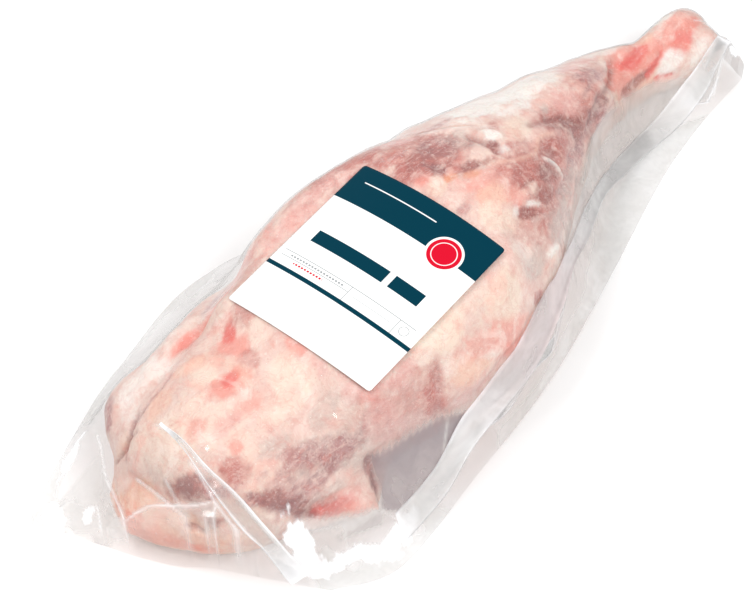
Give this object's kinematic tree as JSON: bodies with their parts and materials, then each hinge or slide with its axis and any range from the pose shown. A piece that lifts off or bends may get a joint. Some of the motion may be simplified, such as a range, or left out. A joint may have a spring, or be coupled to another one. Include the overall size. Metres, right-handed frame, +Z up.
{
  "type": "raw leg of lamb in a clear bag",
  "caption": "Whole raw bone-in leg of lamb in a sealed clear bag with a card label on top, lying on its flat underside.",
  "frame": {"origin": "middle of the bounding box's base, on the surface the bag lies on", "axes": "+X along the leg towards the shank, +Y to the left of the leg seen from its rump, +Z up"},
  "size_m": [0.484, 0.1902, 0.0843],
  "materials": {
    "film": "clear glossy vacuum film, creased",
    "meat": "moist raw lamb, pink muscle under cream fat",
    "label_card": "satin white card with a dark teal head"
  },
  "bodies": {
    "root": {"bag": "film", "label": "label_card"}
  },
  "joints": []
}
